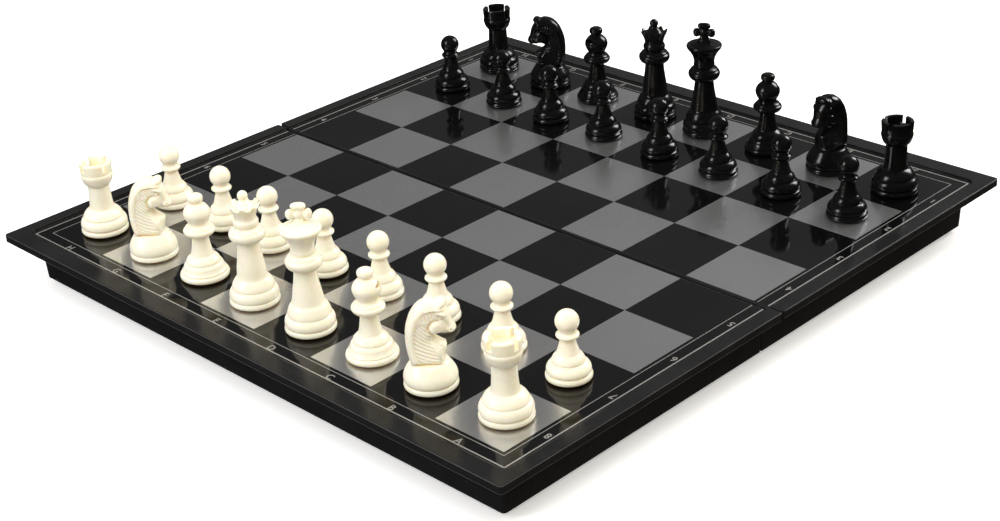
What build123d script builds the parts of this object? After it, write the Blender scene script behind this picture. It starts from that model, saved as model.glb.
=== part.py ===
from build123d import *
from math import cos, radians, sin
import os

# Folding magnetic travel chess set, laid open on a table with the game set out.
# Millimetres. Origin: middle of the fold on the table. +X runs along the fold,
# -Y is the half that carries the white army, +Y the half that carries the black army.
# In names, _R is a radius, _T a thickness, _H a height; _X and _Y are distances from the
# origin and _Z a height above the table. "side" is -1 for the white half, 1 for the black.

os.makedirs("parts", exist_ok=True)


def save(part, name):
    part.label = name
    export_step(part, f"parts/{name}.step")


# ---------------------------------------------------------------- board
SQUARE = 35.0             # one playing square
FOLD_MARGIN = 1.75        # plain strip between the fold and the first row of squares
FOLD_GAP = 1.2            # slot between the two top plates when open
EDGE_R = 0.8              # rounding of the top plate beside the fold
FOOT_H = 2.5              # feet, and the closing plane above the table
PLAY_Z = FOOT_H + 21.0    # playing surface
TOP_UNDER = PLAY_Z - 3.1  # underside of the top plate
OVERLAP = 0.5             # how far ribs and posts run up into the top plate
OVERCUT = 1.0             # how far a cut starts outside the material

# overhanging rim
LIP_X = 155.9
LIP_Y = 159.6             # edge furthest from the fold
LIP_R = 1.6               # plan corners away from the fold
LIP_END_R = 1.3           # plan corners at the fold
LIP_T = 3.45
LIP_CREST_R = 0.5         # rounding of the crest
LIP_CHAMFER = 0.35        # on the lower outer edge
RIM_Z = PLAY_Z + 1.2      # crest
LIP_UNDER = RIM_Z - LIP_T

# tray walls
TRAY_X = 144.8            # outer faces at the closing plane
TRAY_Y = 148.1
TRAY_R = 1.8
DRAFT = 3.3               # degrees the walls lean in towards the table
WALL_IN_X = 142.4         # inner faces
WALL_IN_Y = 145.8
HOLLOW_R = 1.5            # plan corners of the storage hollow
FOLD_WALL_OUT = 0.55      # the two faces of the wall beside the fold
FOLD_WALL_IN = 4.45
HOLLOW_MID_Y = (WALL_IN_Y + FOLD_WALL_IN) / 2
HOLLOW_LENGTH_Y = WALL_IN_Y - FOLD_WALL_IN

# stiffening ribs
RIB_T = 1.2
RIB_DEPTH = 1.4           # below the top plate
RIB_XS = (-70.5, 0, 70.5)
RIB_YS = (51, 97)
RIB_END_X = 0.5           # how far each end runs into the walls
RIB_END_Y = 0.4

# shallow recess inside the raised rim band, and the sheets that lie in it
BAND_X = 149.4            # inner edge of the band
BAND_Y = BAND_X + FOLD_MARGIN
BAND_R = 4.0
BAND_PAST_FOLD = 10.0     # how far the cut runs past the fold
CUT_UP = 5.0              # height of cuts that leave through the top
SHEET_X = 147.8           # printed sheet
SHEET_Y = SHEET_X + FOLD_MARGIN
SHEET_IN = 1.7            # printed sheet starts here, measured from the fold
SHEET_MID_Y = (SHEET_Y + SHEET_IN) / 2
SHEET_LENGTH_Y = SHEET_Y - SHEET_IN
SHEET_R = 0.6
SHEET_T = 0.6
SHEET_CLEARANCE = 0.05
STEEL_T = 0.5
STEEL_INSET = 0.6         # steel sheet edge, inside the printed sheet's
POCKET_Z = PLAY_Z - SHEET_T - STEEL_T
FOIL_T = 0.05             # silver foil squares
FOIL_GAP = 0.005          # foil above the playing surface
FOIL_SIDE = SQUARE - 0.06

# ---------------------------------------------------------------- feet
FOOT_R = 4.5
FOOT_ROUNDING = 0.7
POST_R = 5.2
WHITE_FEET = [(132.0, -134.0), (-132.0, -134.0), (132.0, -12.0), (-132.0, -12.0)]
BLACK_FEET = [(118.0, 134.0), (-118.0, 134.0), (130.0, 26.0), (-130.0, 26.0)]

# ---------------------------------------------------------------- hinge
HINGE_Z = FOOT_H - 0.1    # fold axis; leaves a 0.2 mm gap between the rims when closed
HINGE_XS = (-104.0, 104.0)  # centres of the two hinges
KNUCKLE_R = 2.2
KNUCKLE_GAP = 0.2
MID_HALF = 16.0 / 2       # half length of the black half's middle knuckle
END_KNUCKLE = 8.0         # length of each of the white half's outer knuckles
END_START = MID_HALF + KNUCKLE_GAP
HINGE_HALF = END_START + END_KNUCKLE
RECESS_DEPTH = 2.4        # recess that clears the other half's knuckles, in from the fold
RECESS_H = 2.5            # recess above the closing plane
WEB_REACH = FOLD_WALL_IN * 0.76   # web that joins a knuckle to the wall
WEB_H = 2.1
WEB_MID_Z = HINGE_Z + 1.15
PIN_R = 0.9
PIN_CHAMFER = 0.2
TIGHT_BORE_R = PIN_R + 0.012      # white half, which holds the pin
LOOSE_BORE_R = PIN_R + 0.05       # black half, which turns on it

MID_SPANS = [(x - MID_HALF, x + MID_HALF) for x in HINGE_XS]
END_SPANS = [span for x in HINGE_XS
             for span in ((x - HINGE_HALF, x - END_START), (x + END_START, x + HINGE_HALF))]

# ---------------------------------------------------------------- latch
# In the middle of the black half's wall furthest from the fold; it slides along X.
# The catch is in the same place on the white half. Pairs are (low, high) limits.
LATCH_TRAVEL = 4.0
SLIDER_X = (-9.0, 9.0)
SLIDER_Y = (WALL_IN_Y - 2.3, WALL_IN_Y - 0.3)
SLIDER_Z = (4.2, 12.0)
WINDOW_X = (-7.5, 11.5)   # thumb window
WINDOW_Z = (6.0, 10.2)
BUTTON_X = (-5.0, 5.0)
BUTTON_Z = (6.2, 10.0)
BUTTON_Y = TRAY_Y + 1.7   # outer face of the button
BUTTON_CHAMFER = 0.4
GROOVE_XS = (-2.6, -0.9, 0.9, 2.6)
GROOVE_HALF = 0.3
GROOVE_DEPTH = 0.4
STEM_X = (-3.0, 0.0)
HOOK_TIP_X = 3.0
HOOK_Z = (0.2, 1.1)
CATCH_X = (-7.0, 11.0)
CATCH_T = 1.0
CATCH_CLEARANCE = 0.4     # along X, each end of the hook's travel
RETAINER_X = 20.5
RETAINER_Y = WALL_IN_Y - 3.7      # face towards the fold
RETAINER_Z = (4.0, 12.6)
RETAINER_T = 1.2
RETAINER_R = 1.2
RETAINER_HOLE_R = 1.05
BOSS_HALF = 2.0
BOSS_Y = WALL_IN_Y - 2.4          # face towards the fold
BOSS_Z = (4.0, 12.0)
PILOT_R = 0.85
PILOT_DEPTH = 2.2
SCREW_XS = (-17.0, 17.0)
SCREW_Z = 8.0
SCREW_SEAT_Y = RETAINER_Y - 0.02  # underside of the heads
SHANK_R = 0.8
SHANK_LENGTH = 3.2
HEAD_R = 1.7
HEAD_T = 0.9
HEAD_ROUNDING = 0.45
DRIVE_SLOT_HALF_X = 1.2
DRIVE_SLOT_HALF_Z = 0.25
DRIVE_SLOT_Y = (RETAINER_Y - 1.0, RETAINER_Y - 0.6)


# ---------------------------------------------------------------- helpers
# The sketches made here don't join the caller's part, so they are handed to extrude.
def block(x_span, y_span, z_span, mode=Mode.ADD):
    """Straight-sided block added to or cut from the part being built."""
    with BuildSketch(Plane.XY.offset(z_span[0])) as outline:
        with Locations((sum(x_span) / 2, sum(y_span) / 2)):
            Rectangle(x_span[1] - x_span[0], y_span[1] - y_span[0])
    extrude(outline.sketch, amount=z_span[1] - z_span[0], mode=mode)


def bore_hinges(half_length, radius):
    """Pin bores of both hinges, cut from the part being built."""
    for hinge_x in HINGE_XS:
        with BuildSketch(Plane.YZ.offset(hinge_x - half_length)) as hole:
            with Locations((0, HINGE_Z)):
                Circle(radius)
        extrude(hole.sketch, amount=2 * half_length, mode=Mode.SUBTRACT)


def drill_screw_holes(start_y, depth, radius):
    """Holes running towards +Y at the two screws, cut from the part being built."""
    # local Y points down in this plane
    wall = Plane(origin=(0, start_y, 0), x_dir=(1, 0, 0), z_dir=(0, 1, 0))
    with BuildSketch(wall) as holes:
        with Locations(*[(x, -SCREW_Z) for x in SCREW_XS]):
            Circle(radius)
    extrude(holes.sketch, amount=depth, mode=Mode.SUBTRACT)


def mirrored(left_half):
    """Outline points (across, height) of one side, then the other side in reverse."""
    return left_half + [(-across, height) for across, height in reversed(left_half)]


# ---------------------------------------------------------------- half shells
def tray(side, feet, knuckle_spans):
    """Moulded half: drafted tray, overhanging rim, sheet pocket, foot posts, knuckles."""
    hollow_mid = side * HOLLOW_MID_Y
    with BuildPart() as shell:
        # tray block, wider at the rim than at the table, kept on this side of the fold
        with BuildSketch(Plane.XY.offset(FOOT_H)):
            RectangleRounded(2 * TRAY_X, 2 * TRAY_Y, TRAY_R)
        extrude(amount=LIP_UNDER - FOOT_H, taper=-DRAFT)
        fold_face = Plane(origin=(0, side * FOLD_WALL_OUT, 0), z_dir=(0, side, 0))
        split(bisect_by=fold_face, keep=Keep.TOP)
        # overhanging rim and top plate
        with BuildSketch(Plane.XY.offset(LIP_UNDER)):
            with Locations((0, side * (LIP_Y + FOLD_GAP / 2) / 2)):
                Rectangle(2 * LIP_X, LIP_Y - FOLD_GAP / 2)
            fillet(vertices().filter_by(lambda corner: abs(corner.Y) > 100), radius=LIP_R)
            fillet(vertices().filter_by(lambda corner: abs(corner.Y) < 5), radius=LIP_END_R)
        extrude(amount=LIP_T)
        # crest edges, except the one along the fold
        fillet(faces().sort_by(Axis.Z)[-1].edges().filter_by(
            lambda edge: abs(edge.center().Y) > 3), radius=LIP_CREST_R)
        # lower edges of the rim, not those where it meets the tray
        chamfer(edges().filter_by_position(Axis.Z, LIP_UNDER - 0.01, LIP_UNDER + 0.01).filter_by(
            lambda edge: abs(edge.center().X) > TRAY_X + 6
            or abs(edge.center().Y) > TRAY_Y + 6), length=LIP_CHAMFER)
        # shallow recess inside the rim band, open at the fold
        with BuildSketch(Plane.XY.offset(PLAY_Z)):
            with Locations((0, side * (BAND_Y - BAND_PAST_FOLD) / 2)):
                Rectangle(2 * BAND_X, BAND_Y + BAND_PAST_FOLD)
            fillet(vertices().filter_by(lambda corner: abs(corner.Y) > 100), radius=BAND_R)
        extrude(amount=CUT_UP, mode=Mode.SUBTRACT)
        # pocket for the steel sheet and the printed sheet
        with BuildSketch(Plane.XY.offset(POCKET_Z)):
            with Locations((0, side * SHEET_MID_Y)):
                Rectangle(2 * SHEET_X + 2 * SHEET_CLEARANCE,
                          SHEET_LENGTH_Y + 2 * SHEET_CLEARANCE)
        extrude(amount=CUT_UP, mode=Mode.SUBTRACT)
        # rounded edge beside the fold
        with BuildSketch(Plane.YZ.offset(-BAND_X)):
            with Locations((side * FOLD_GAP / 2, PLAY_Z)):
                Rectangle(2 * EDGE_R, 2 * EDGE_R)
            with Locations((side * (FOLD_GAP / 2 + EDGE_R), PLAY_Z - EDGE_R)):
                Circle(EDGE_R, mode=Mode.SUBTRACT)
        extrude(amount=2 * BAND_X, mode=Mode.SUBTRACT)
        # storage hollow under the top plate
        with BuildSketch(Plane.XY.offset(FOOT_H)):
            with Locations((0, hollow_mid)):
                RectangleRounded(2 * WALL_IN_X, HOLLOW_LENGTH_Y, HOLLOW_R)
        extrude(amount=TOP_UNDER - FOOT_H, mode=Mode.SUBTRACT)
        # stiffening ribs under the top plate
        with BuildSketch(Plane.XY.offset(TOP_UNDER - RIB_DEPTH)):
            with Locations(*[(x, hollow_mid) for x in RIB_XS]):
                Rectangle(RIB_T, HOLLOW_LENGTH_Y + 2 * RIB_END_Y)
            with Locations(*[(0, side * y) for y in RIB_YS]):
                Rectangle(2 * (WALL_IN_X + RIB_END_X), RIB_T)
        extrude(amount=RIB_DEPTH + OVERLAP)
        # posts that carry the feet
        with BuildSketch(Plane.XY.offset(FOOT_H)):
            with Locations(*feet):
                Circle(POST_R)
        extrude(amount=TOP_UNDER - FOOT_H + OVERLAP)
        # recess at each hinge, clearing the other half's knuckles
        with BuildSketch(Plane.XY.offset(FOOT_H - OVERCUT)):
            with Locations(*[(x, side * RECESS_DEPTH / 2) for x in HINGE_XS]):
                Rectangle(2 * (HINGE_HALF + KNUCKLE_GAP), RECESS_DEPTH)
        extrude(amount=OVERCUT + RECESS_H, mode=Mode.SUBTRACT)
        # knuckles, each with a web to the wall beside the fold
        for start, end in knuckle_spans:
            with BuildSketch(Plane.YZ.offset(start)):
                with Locations((0, HINGE_Z)):
                    Circle(KNUCKLE_R)
                with Locations((side * WEB_REACH / 2, WEB_MID_Z)):
                    Rectangle(WEB_REACH, WEB_H)
            extrude(amount=end - start)
    return shell.part


white_blank = tray(-1, WHITE_FEET, END_SPANS)
with BuildPart() as white_half_shell:
    add(white_blank)
    bore_hinges(HINGE_HALF + OVERCUT, TIGHT_BORE_R)
    # catch plate for the latch hook, with its entry slot
    block(CATCH_X, (-WALL_IN_Y - 0.5, -WALL_IN_Y + 3.3), (FOOT_H, FOOT_H + CATCH_T))
    block((STEM_X[0] - CATCH_CLEARANCE, STEM_X[1] + LATCH_TRAVEL + CATCH_CLEARANCE),
          (-WALL_IN_Y + 0.05, -WALL_IN_Y + 2.6),
          (FOOT_H - OVERCUT, FOOT_H + CATCH_T + OVERCUT), Mode.SUBTRACT)
save(white_half_shell.part, "white_half_shell")

black_blank = tray(1, BLACK_FEET, MID_SPANS)
with BuildPart() as black_half_shell:
    add(black_blank)
    bore_hinges(MID_HALF + OVERCUT, LOOSE_BORE_R)
    # window for the thumb button
    block(WINDOW_X, (WALL_IN_Y - OVERCUT, TRAY_Y + 4), WINDOW_Z, Mode.SUBTRACT)
    # bosses the retainer plate is screwed to, with pilot holes for the screws
    for screw_x in SCREW_XS:
        block((screw_x - BOSS_HALF, screw_x + BOSS_HALF), (BOSS_Y, WALL_IN_Y + 0.4), BOSS_Z)
    drill_screw_holes(BOSS_Y, PILOT_DEPTH, PILOT_R)
save(black_half_shell.part, "black_half_shell")


# ---------------------------------------------------------------- sheets, foil and feet
def sheet(side, base_z, thickness, inset):
    """Flat sheet in the pocket, its edges inset from the printed sheet's outline."""
    with BuildPart() as plate:
        with BuildSketch(Plane.XY.offset(base_z)):
            with Locations((0, side * SHEET_MID_Y)):
                RectangleRounded(2 * (SHEET_X - inset), SHEET_LENGTH_Y - 2 * inset, SHEET_R)
        extrude(amount=thickness)
    return plate.part


def silver_squares(side, first):
    """Every second square; first (0 or 1) is the starting column of the row at the fold,
    counting columns from -X."""
    spots = [((col - 3.5) * SQUARE, side * (FOLD_MARGIN + (row + 0.5) * SQUARE))
             for row in range(4) for col in range(8) if (row + col) % 2 == first]
    with BuildPart() as foil:
        with BuildSketch(Plane.XY.offset(PLAY_Z + FOIL_GAP)):
            with Locations(*spots):
                Rectangle(FOIL_SIDE, FOIL_SIDE)
        extrude(amount=FOIL_T)
    return foil.part


def feet_set(spots):
    """Round feet of one half, rounded where they meet the table."""
    with BuildPart() as foot:
        with BuildSketch(Plane.XY):
            with Locations(*spots):
                Circle(FOOT_R)
        extrude(amount=FOOT_H)
        fillet(edges().filter_by(GeomType.CIRCLE).group_by(Axis.Z)[0], radius=FOOT_ROUNDING)
    return foot.part


for half, side, feet, first in (("white", -1, WHITE_FEET, 0), ("black", 1, BLACK_FEET, 1)):
    save(sheet(side, POCKET_Z, STEEL_T, STEEL_INSET), f"{half}_half_steel_sheet")
    save(sheet(side, POCKET_Z + STEEL_T, SHEET_T, 0.0), f"{half}_half_playing_sheet")
    save(silver_squares(side, first), f"{half}_half_silver_squares")
    save(feet_set(feet), f"{half}_half_feet")

# ---------------------------------------------------------------- hinge pins
with BuildPart() as hinge_pins:
    for hinge_x in HINGE_XS:
        with BuildSketch(Plane.YZ.offset(hinge_x - HINGE_HALF)):
            with Locations((0, HINGE_Z)):
                Circle(PIN_R)
        extrude(amount=2 * HINGE_HALF)
    chamfer(edges().filter_by(GeomType.CIRCLE), length=PIN_CHAMFER)
save(hinge_pins.part, "hinge_pins")

# ---------------------------------------------------------------- sliding latch
with BuildPart() as latch_slider:
    block(SLIDER_X, SLIDER_Y, SLIDER_Z)
    # thumb button through the window, with grip grooves
    block(BUTTON_X, (SLIDER_Y[1] - 0.3, BUTTON_Y), BUTTON_Z)
    chamfer(faces().sort_by(Axis.Y)[-1].edges(), length=BUTTON_CHAMFER)
    for groove_x in GROOVE_XS:
        block((groove_x - GROOVE_HALF, groove_x + GROOVE_HALF),
              (BUTTON_Y - GROOVE_DEPTH, TRAY_Y + 3),
              (BUTTON_Z[0] - OVERCUT, BUTTON_Z[1] + OVERCUT), Mode.SUBTRACT)
    # hook: stem down past the closing plane, then a finger along the travel
    block(STEM_X, SLIDER_Y, (HOOK_Z[0], SLIDER_Z[0] + 0.5))
    block((STEM_X[1] - 0.2, HOOK_TIP_X), SLIDER_Y, HOOK_Z)
save(latch_slider.part, "latch_slider")

# plate that keeps the slider against the wall
with BuildPart() as latch_retainer:
    block((-RETAINER_X, RETAINER_X), (RETAINER_Y, RETAINER_Y + RETAINER_T), RETAINER_Z)
    fillet(edges().filter_by(Axis.Y), radius=RETAINER_R)
    drill_screw_holes(RETAINER_Y, RETAINER_T, RETAINER_HOLE_R)
save(latch_retainer.part, "latch_retainer")

with BuildPart() as latch_screws:
    for screw_x in SCREW_XS:
        seat = (screw_x, SCREW_SEAT_Y, SCREW_Z)
        # head towards the fold, shank away from it
        with BuildSketch(Plane(origin=seat, x_dir=(1, 0, 0), z_dir=(0, -1, 0))):
            Circle(HEAD_R)
        extrude(amount=HEAD_T)
        with BuildSketch(Plane(origin=seat, x_dir=(1, 0, 0), z_dir=(0, 1, 0))):
            Circle(SHANK_R)
        extrude(amount=SHANK_LENGTH)
    fillet(edges().filter_by(GeomType.CIRCLE).group_by(Axis.Y)[0], radius=HEAD_ROUNDING)
    for screw_x in SCREW_XS:
        block((screw_x - DRIVE_SLOT_HALF_X, screw_x + DRIVE_SLOT_HALF_X), DRIVE_SLOT_Y,
              (SCREW_Z - DRIVE_SLOT_HALF_Z, SCREW_Z + DRIVE_SLOT_HALF_Z), Mode.SUBTRACT)
save(latch_screws.part, "latch_screws")

# ---------------------------------------------------------------- chessmen
# Each man stands on Z = 0. Profiles are (radius, height) points going up from the
# shared bottom disc.
PIECE_Z = PLAY_Z + FOIL_T + 0.03   # underside of the base pads
PAD_T = 0.6
PAD_INSET = 1.1                    # pad radius short of the base radius
BODY_BASE = PAD_T + 0.02           # moulded body starts just above the glued pad
MAGNET_T = 2.4
PAWN_BASE_R, PAWN_MAGNET_R = 9.1, 4.6
PIECE_BASE_R, PIECE_MAGNET_R = 10.5, 5.6   # every man but the pawns


def foot_profile(radius):
    """Profile points of the bottom disc shared by every man."""
    return [(0, BODY_BASE), (radius - 0.35, BODY_BASE), (radius, BODY_BASE + 0.4),
            (radius, 1.6), (radius - 0.12, 2.3), (radius - 0.42, 2.85)]


def ball_profile(centre_z, radius, start, end, steps):
    """Points on an arc centred on the axis, angles in degrees up from the horizontal."""
    angles = [radians(start + (end - start) * i / steps) for i in range(steps + 1)]
    return [(radius * cos(angle), centre_z + radius * sin(angle)) for angle in angles]


def add_base(magnet_r, pad_r):
    """Magnet pocket, magnet and pad, in the man being built."""
    with BuildSketch(Plane.XY.offset(BODY_BASE - 0.01)) as pocket:
        Circle(magnet_r + 0.08)
    extrude(pocket.sketch, amount=MAGNET_T + 0.12, mode=Mode.SUBTRACT)
    with BuildSketch(Plane.XY.offset(BODY_BASE + 0.03)) as magnet:
        Circle(magnet_r)
    extrude(magnet.sketch, amount=MAGNET_T)
    with BuildSketch(Plane.XY) as pad:
        Circle(pad_r)
    extrude(pad.sketch, amount=PAD_T)


def turned(profile, base_r=PIECE_BASE_R, magnet_r=PIECE_MAGNET_R):
    """A turned man: body of revolution with a disc magnet in a pocket, and a glued pad."""
    with BuildPart() as man:
        with BuildSketch(Plane.XZ):
            with BuildLine():
                Polyline(*foot_profile(base_r), *profile, close=True)
            make_face()
        revolve(axis=Axis.Z)
        add_base(magnet_r, base_r - PAD_INSET)
    return man.part


# pawn: 28.7 tall
PAWN_PROFILE = [
    (8.5, 3.3), (8.6, 4.2), (8.4, 5.2), (7.95, 6.1), (7.2, 7.0), (6.35, 7.6), (6.3, 8.2),
    (6.0, 8.9), (5.35, 9.6), (4.75, 10.4), (4.3, 11.3), (3.9, 12.4), (3.55, 13.6),
    (3.2, 15.0), (2.9, 16.4), (2.9, 16.9), (3.6, 17.3), (4.3, 17.9), (4.5, 18.4),
    (4.35, 18.9), (3.9, 19.3), (3.45, 19.9),
] + ball_profile(24.1, 4.6, -44, 84, 13) + [(0, 28.7)]
pawn = turned(PAWN_PROFILE, PAWN_BASE_R, PAWN_MAGNET_R)

# rook: 33.8 tall, hollow crown
ROOK_PROFILE = [
    (10.05, 3.3), (10.3, 4.1), (10.25, 5.2), (9.95, 6.1), (9.4, 7.0), (8.75, 7.7),
    (8.65, 8.2), (8.1, 9.2), (7.3, 10.4), (6.3, 11.3), (5.6, 11.9), (5.3, 12.8),
    (5.15, 14.2), (5.0, 16.0), (4.85, 18.4), (4.75, 20.6), (4.72, 22.6), (5.3, 23.2),
    (6.0, 24.0), (6.4, 24.8), (6.75, 25.8), (7.0, 26.7), (7.1, 27.5), (6.98, 28.1),
    (6.8, 28.6), (6.95, 30.2), (7.1, 32.0), (7.2, 33.3), (6.9, 33.8), (5.35, 33.8),
    (5.05, 33.5), (5.0, 29.7), (0, 29.4)]
CRENEL_Z = 29.9
CRENEL_WIDTH = 2.3
rook_blank = turned(ROOK_PROFILE)
with BuildPart() as rook:
    add(rook_blank)
    # two opposite crenels, at +X and -X
    with BuildSketch(Plane.XY.offset(CRENEL_Z)) as crenels:
        Rectangle(20, CRENEL_WIDTH)
        Circle(4.8, mode=Mode.SUBTRACT)
    extrude(crenels.sketch, amount=6, mode=Mode.SUBTRACT)

# bishop: 38.3 tall, mitre with a slanting slit and a flattened finial
BISHOP_PROFILE = [
    (9.6, 3.3), (9.4, 3.9), (8.6, 4.7), (8.35, 5.6), (7.8, 6.6), (7.35, 7.3), (7.25, 8.0),
    (6.6, 9.0), (5.6, 9.9), (4.95, 10.7), (4.6, 11.6), (4.3, 12.8), (4.0, 14.4),
    (3.75, 16.2), (3.5, 18.0), (3.4, 19.2), (4.4, 19.5), (5.8, 20.2), (6.5, 21.1),
    (6.7, 21.8), (6.5, 22.6), (5.7, 23.2), (5.55, 23.7), (4.9, 24.3), (4.05, 24.8),
    (3.95, 25.2), (4.4, 26.1), (5.1, 27.3), (5.55, 28.6), (5.7, 29.7), (5.55, 30.8),
    (5.0, 31.9), (4.2, 32.9), (3.3, 33.8), (2.4, 34.3), (2.4, 34.7), (2.9, 35.0),
    (3.2, 35.6), (3.28, 36.4), (3.1, 37.2), (2.5, 37.8), (1.5, 38.2), (0, 38.3)]
SLIT_START = (9.0, 0, 34.2)
SLIT_DIRECTION = (-0.87, 0, -0.5)
SLIT_REACH = 7.4
SLIT_HALF_WIDTH = 3.2
SLIT_HALF_T = 0.75
bishop_blank = turned(BISHOP_PROFILE)
with BuildPart() as bishop:
    add(bishop_blank)
    # lens-shaped cutter entering the mitre from +X and sloping down towards -X
    with BuildSketch(Plane(origin=SLIT_START, x_dir=(0, 1, 0), z_dir=SLIT_DIRECTION)) as slit:
        with BuildLine():
            ThreePointArc((-SLIT_HALF_WIDTH, 0), (0, SLIT_HALF_T), (SLIT_HALF_WIDTH, 0))
            ThreePointArc((SLIT_HALF_WIDTH, 0), (0, -SLIT_HALF_T), (-SLIT_HALF_WIDTH, 0))
        make_face()
    extrude(slit.sketch, amount=SLIT_REACH, mode=Mode.SUBTRACT)

# queen: 50.1 tall, open pointed coronet with a ball
QUEEN_PROFILE = [
    (10.0, 3.3), (10.1, 4.3), (10.05, 5.3), (9.75, 6.2), (9.3, 7.0), (8.8, 7.8), (8.7, 8.4),
    (8.3, 9.4), (7.7, 10.4), (7.2, 11.2), (6.6, 12.0), (6.3, 12.8), (6.1, 14.2),
    (5.95, 16.0), (5.7, 17.8), (5.35, 20.0), (5.0, 22.4), (4.7, 25.0), (4.45, 28.0),
    (5.5, 28.5), (6.7, 29.3), (7.35, 30.4), (7.5, 31.5), (7.25, 32.5), (6.4, 33.4),
    (5.4, 34.3), (4.7, 34.8), (5.0, 35.5), (5.25, 36.4), (5.2, 37.3), (4.7, 38.1),
    (4.5, 38.7), (4.65, 39.5), (5.0, 40.8), (5.6, 42.2), (6.3, 43.5), (6.6, 44.3),
    (6.3, 44.5), (5.5, 43.6), (4.6, 43.4), (3.7, 44.0), (2.8, 45.0), (2.0, 45.9), (1.6, 46.4),
] + ball_profile(48.0, 2.1, -48, 80, 9) + [(0, 50.1)]
SCALLOP_R = 1.75
SCALLOP_Z = 45.0
SCALLOP_START = 3.6       # distance from the axis
SCALLOP_COUNT = 8
queen_blank = turned(QUEEN_PROFILE)
with BuildPart() as queen:
    add(queen_blank)
    # scallops round the coronet
    with BuildSketch(Plane.YZ.offset(SCALLOP_START)):
        with Locations((0, SCALLOP_Z)):
            Circle(SCALLOP_R)
    scallop = extrude(amount=6, mode=Mode.PRIVATE)
    with PolarLocations(0, SCALLOP_COUNT):
        add(scallop, mode=Mode.SUBTRACT)

# king: 55.6 tall, domed crown with a lobed cross standing along the line X = Y
KING_PROFILE = [
    (10.0, 3.3), (10.1, 4.3), (10.05, 5.3), (9.75, 6.2), (9.3, 7.0), (8.8, 7.8), (8.7, 8.4),
    (8.5, 9.4), (8.1, 10.6), (7.7, 11.5), (7.0, 12.2), (6.6, 12.9), (6.35, 14.2),
    (6.05, 16.0), (5.72, 18.0), (5.35, 20.0), (5.0, 22.0), (4.68, 24.5), (4.45, 27.2),
    (5.5, 27.7), (6.7, 28.6), (7.35, 29.7), (7.5, 30.8), (7.2, 31.8), (6.3, 32.8),
    (5.5, 33.6), (4.7, 34.2), (4.95, 35.1), (4.95, 36.0), (4.75, 36.6), (5.2, 38.6),
    (5.75, 40.0), (6.6, 41.4), (7.6, 42.7), (8.25, 43.7), (8.4, 44.4), (8.2, 45.0),
    (7.7, 45.35), (6.6, 45.7), (5.2, 46.3), (3.9, 46.9), (2.9, 47.5), (2.2, 48.0), (0, 48.4)]
# one side of the cross: (across, height)
CROSS_HALF = [
    (-2.3, 46.8), (-2.2, 48.0), (-2.1, 49.0), (-3.2, 48.6), (-4.4, 48.7), (-5.1, 49.6),
    (-5.3, 50.8), (-5.1, 52.0), (-4.3, 52.8), (-3.3, 52.9), (-2.3, 52.6), (-2.9, 53.3),
    (-3.1, 54.2), (-2.7, 55.1), (-1.6, 55.55), (-0.5, 55.6)]
CROSS_T = 3.8
king_blank = turned(KING_PROFILE)
with BuildPart() as king:
    add(king_blank)
    cross_plane = Plane(origin=(0, 0, 0), x_dir=(1, 1, 0), z_dir=(1, -1, 0))
    with BuildSketch(cross_plane.offset(-CROSS_T / 2)):
        with BuildLine():
            Polyline(*mirrored(CROSS_HALF), close=True)
        make_face()
    extrude(amount=CROSS_T)

# knight: turned base, carved horse head facing +X
KNIGHT_PROFILE = [
    (10.05, 3.3), (10.3, 4.1), (10.25, 5.3), (9.8, 6.6), (9.1, 7.9), (8.35, 9.2),
    (7.8, 10.2), (7.5, 10.9), (7.0, 11.4), (0, 11.6)]
# side view: (x, height), up the back of the neck and down the face
HEAD_SIDE = [
    (-6.8, 10.2), (-7.3, 11.6), (-7.9, 14.0), (-8.35, 17.0), (-8.5, 20.0), (-8.4, 23.0),
    (-8.0, 26.0), (-7.1, 29.0), (-5.9, 31.9), (-4.1, 34.3), (-2.0, 36.0), (0.2, 36.8),
    (2.2, 36.9), (3.5, 36.5), (4.6, 37.0), (5.8, 37.2), (7.0, 36.8), (7.6, 35.9),
    (7.6, 34.9), (7.2, 34.0), (7.8, 33.0), (8.6, 31.4), (9.1, 29.8), (9.5, 27.9),
    (10.4, 26.2), (10.8, 24.9), (10.6, 23.9), (9.8, 23.1), (8.7, 22.8), (7.6, 22.9),
    (6.4, 22.7), (5.4, 23.0), (4.2, 23.1), (3.0, 22.7), (2.3, 22.0), (2.6, 21.2),
    (3.8, 20.2), (5.3, 19.3), (6.5, 18.6), (6.9, 17.8), (6.7, 16.0), (6.3, 14.0),
    (6.2, 12.2), (6.6, 10.2)]
# one side of the front view, narrowing towards the ears: (y, height)
HEAD_FRONT_HALF = [
    (-6.3, 10.0), (-6.1, 13.0), (-5.5, 17.0), (-5.0, 21.0), (-4.8, 25.0), (-4.6, 29.0),
    (-4.1, 33.0), (-3.2, 35.6), (-1.8, 37.0)]
# plan, slim muzzle and full neck: (x, y)
HEAD_PLAN = [
    (-9.0, 0), (-6.4, 4.2), (-1.0, 6.4), (4.0, 5.2), (8.8, 3.6),
    (11.0, 0), (8.8, -3.6), (4.0, -5.2), (-1.0, -6.4), (-6.4, -4.2)]
HEAD_BLANK_T = 15
knight_foot = turned(KNIGHT_PROFILE)
with BuildPart() as knight_head:
    with BuildSketch(Plane.XZ.offset(-HEAD_BLANK_T / 2)):
        with BuildLine():
            Polyline(*HEAD_SIDE, close=True)
        make_face()
    extrude(amount=HEAD_BLANK_T)
    with BuildSketch(Plane.YZ.offset(-20)):
        with BuildLine():
            Polyline(*mirrored(HEAD_FRONT_HALF), close=True)
        make_face()
    extrude(amount=40, mode=Mode.INTERSECT)
    with BuildSketch(Plane.XY.offset(9)):
        with BuildLine():
            Spline(*HEAD_PLAN, periodic=True)
        make_face()
    extrude(amount=30, mode=Mode.INTERSECT)
with BuildPart() as knight:
    add(knight_foot)
    add(knight_head.part)

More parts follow.
